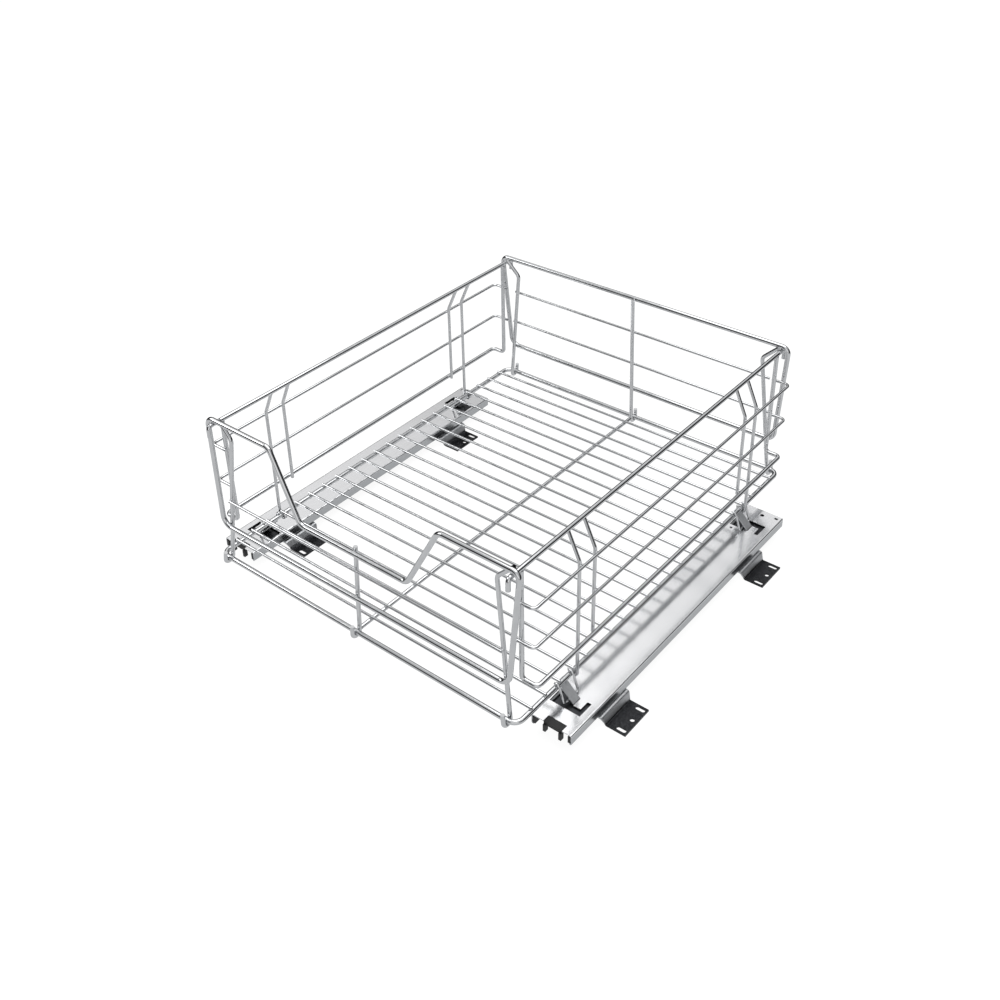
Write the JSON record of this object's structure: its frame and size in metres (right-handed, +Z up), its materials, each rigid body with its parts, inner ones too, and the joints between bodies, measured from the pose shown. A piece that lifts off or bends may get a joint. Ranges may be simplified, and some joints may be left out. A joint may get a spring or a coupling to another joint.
{
  "type": "pull-out cabinet basket",
  "caption": "Pull-out wire basket with a dipped front rail, on flat ball-bearing slides that screw to a cabinet floor.",
  "frame": {"origin": "centre of the outline, on the cabinet floor that the brackets are screwed to", "axes": "+X to the right as seen from the front, -Y the way the basket pulls out, +Z up"},
  "size_m": [0.5008, 0.5074, 0.2112],
  "materials": {
    "chrome_wire": "bright chrome plate on steel wire",
    "polished_rail": "bright zinc-plated sheet, near white in the light",
    "zinc_rail": "zinc-plated sheet, satin",
    "bracket_steel": "grey zinc-plated sheet",
    "cage_steel": "thin bright sheet",
    "ball_steel": "polished steel balls",
    "black_plastic": "moulded black plastic"
  },
  "bodies": {
    "cabinet": {"left_cabinet_rail": "zinc_rail", "right_cabinet_rail": "zinc_rail", "left_front_bracket": "bracket_steel", "left_back_bracket": "bracket_steel", "right_front_bracket": "bracket_steel", "right_back_bracket": "bracket_steel", "bracket_rivets": "zinc_rail"},
    "basket": {"left_drawer_rail": "polished_rail", "right_drawer_rail": "polished_rail", "left_end_stop": "black_plastic", "right_end_stop": "black_plastic", "floor_frame": "chrome_wire", "floor_spine": "chrome_wire", "floor_wires": "chrome_wire", "front_panel_frame": "chrome_wire", "front_thin_wire": "chrome_wire", "front_left_leg": "chrome_wire", "front_right_leg": "chrome_wire", "front_middle_leg": "chrome_wire", "back_panel_frame": "chrome_wire", "back_lower_wire": "chrome_wire", "back_upper_wire": "chrome_wire", "back_left_leg": "chrome_wire", "back_right_leg": "chrome_wire", "back_middle_leg": "chrome_wire", "left_top_wire": "chrome_wire", "left_upper_side_wire": "chrome_wire", "left_middle_side_wire": "chrome_wire", "left_hoop": "chrome_wire", "right_top_wire": "chrome_wire", "right_upper_side_wire": "chrome_wire", "right_middle_side_wire": "chrome_wire", "right_hoop": "chrome_wire", "left_front_long_stay": "chrome_wire", "left_back_long_stay": "chrome_wire", "right_front_long_stay": "chrome_wire", "right_back_long_stay": "chrome_wire", "left_front_short_stay": "chrome_wire", "left_back_short_stay": "chrome_wire", "right_front_short_stay": "chrome_wire", "right_back_short_stay": "chrome_wire"},
    "left_middle": {"left_middle_rail": "zinc_rail"},
    "left_lower_race": {"left_lower_cage": "cage_steel", "left_lower_balls": "ball_steel"},
    "left_upper_race": {"left_upper_cage": "cage_steel", "left_upper_balls": "ball_steel"},
    "left_front_clip": {"left_front_clip": "chrome_wire"},
    "left_back_clip": {"left_back_clip": "chrome_wire"},
    "right_middle": {"right_middle_rail": "zinc_rail"},
    "right_lower_race": {"right_lower_cage": "cage_steel", "right_lower_balls": "ball_steel"},
    "right_upper_race": {"right_upper_cage": "cage_steel", "right_upper_balls": "ball_steel"},
    "right_front_clip": {"right_front_clip": "chrome_wire"},
    "right_back_clip": {"right_back_clip": "chrome_wire"}
  },
  "joints": [
    {"name": "basket_slide", "type": "slide", "parent": "cabinet", "child": "basket", "axis": [0, -1, 0], "range_m": [0, 0.4]},
    {"name": "left_middle_slide", "type": "slide", "parent": "cabinet", "child": "left_middle", "axis": [0, -1, 0], "range_m": [0, 0.2]},
    {"name": "left_lower_race_slide", "type": "slide", "parent": "cabinet", "child": "left_lower_race", "axis": [0, -1, 0], "range_m": [0, 0.1]},
    {"name": "left_upper_race_slide", "type": "slide", "parent": "cabinet", "child": "left_upper_race", "axis": [0, -1, 0], "range_m": [0, 0.3]},
    {"name": "right_middle_slide", "type": "slide", "parent": "cabinet", "child": "right_middle", "axis": [0, -1, 0], "range_m": [0, 0.2]},
    {"name": "right_lower_race_slide", "type": "slide", "parent": "cabinet", "child": "right_lower_race", "axis": [0, -1, 0], "range_m": [0, 0.1]},
    {"name": "right_upper_race_slide", "type": "slide", "parent": "cabinet", "child": "right_upper_race", "axis": [0, -1, 0], "range_m": [0, 0.3]},
    {"name": "right_front_clip_hinge", "type": "hinge", "parent": "basket", "child": "right_front_clip", "pos_m": [0.19592, -0.176, 0.0246], "axis": [0, 1, 0], "range_deg": [0, 90]},
    {"name": "right_back_clip_hinge", "type": "hinge", "parent": "basket", "child": "right_back_clip", "pos_m": [0.19592, 0.15348, 0.0246], "axis": [0, 1, 0], "range_deg": [0, 90]},
    {"name": "left_front_clip_hinge", "type": "hinge", "parent": "basket", "child": "left_front_clip", "pos_m": [-0.22307, -0.176, 0.0246], "axis": [0, -1, 0], "range_deg": [0, 90]},
    {"name": "left_back_clip_hinge", "type": "hinge", "parent": "basket", "child": "left_back_clip", "pos_m": [-0.22307, 0.15348, 0.0246], "axis": [0, -1, 0], "range_deg": [0, 90]}
  ],
  "couplings": [
    {"joint": "left_middle_slide", "follows": "basket_slide", "ratio": 0.5},
    {"joint": "left_lower_race_slide", "follows": "basket_slide", "ratio": 0.25},
    {"joint": "left_upper_race_slide", "follows": "basket_slide", "ratio": 0.75},
    {"joint": "right_middle_slide", "follows": "basket_slide", "ratio": 0.5},
    {"joint": "right_lower_race_slide", "follows": "basket_slide", "ratio": 0.25},
    {"joint": "right_upper_race_slide", "follows": "basket_slide", "ratio": 0.75}
  ]
}
